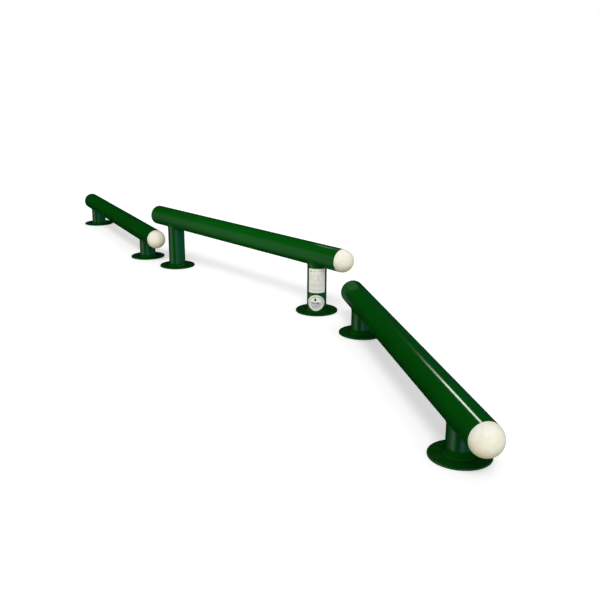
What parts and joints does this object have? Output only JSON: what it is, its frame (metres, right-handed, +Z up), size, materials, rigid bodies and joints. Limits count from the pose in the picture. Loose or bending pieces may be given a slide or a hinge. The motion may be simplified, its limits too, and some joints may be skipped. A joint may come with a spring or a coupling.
{
  "type": "balance beam set",
  "caption": "Zig-zag set of low and high round-tube balance beams on posts with flat round base flanges and domed end caps.",
  "frame": {"origin": "on the ground, at the middle of the set's bounding box", "axes": "+X along the high beam from its plate end to its dome end, +Z up, +Y to the left of +X"},
  "size_m": [5.772, 1.6052, 0.428],
  "materials": {
    "green_paint": "gloss",
    "painted_weld": "gloss",
    "cream_plastic": "satin",
    "label_film": "satin",
    "badge_film": "satin"
  },
  "bodies": {
    "root": {"rear_low_beam_tube": "green_paint", "rear_low_dome_cap": "cream_plastic", "rear_low_end_plate": "green_paint", "rear_low_end_weld": "painted_weld", "rear_low_dome_end_post": "green_paint", "rear_low_plate_end_post": "green_paint", "rear_low_dome_end_saddle_weld": "painted_weld", "rear_low_plate_end_saddle_weld": "painted_weld", "rear_low_dome_end_base_flange": "green_paint", "rear_low_plate_end_base_flange": "green_paint", "rear_low_dome_end_foot_weld": "painted_weld", "rear_low_plate_end_foot_weld": "painted_weld", "high_beam_tube": "green_paint", "high_dome_cap": "cream_plastic", "high_end_plate": "green_paint", "high_end_weld": "painted_weld", "high_dome_end_post": "green_paint", "high_plate_end_post": "green_paint", "high_dome_end_saddle_weld": "painted_weld", "high_plate_end_saddle_weld": "painted_weld", "high_dome_end_base_flange": "green_paint", "high_plate_end_base_flange": "green_paint", "high_dome_end_foot_weld": "painted_weld", "high_plate_end_foot_weld": "painted_weld", "instruction_label": "label_film", "round_badge": "badge_film", "front_low_beam_tube": "green_paint", "front_low_dome_cap": "cream_plastic", "front_low_end_plate": "green_paint", "front_low_end_weld": "painted_weld", "front_low_dome_end_post": "green_paint", "front_low_plate_end_post": "green_paint", "front_low_dome_end_saddle_weld": "painted_weld", "front_low_plate_end_saddle_weld": "painted_weld", "front_low_dome_end_base_flange": "green_paint", "front_low_plate_end_base_flange": "green_paint", "front_low_dome_end_foot_weld": "painted_weld", "front_low_plate_end_foot_weld": "painted_weld"}
  },
  "joints": []
}
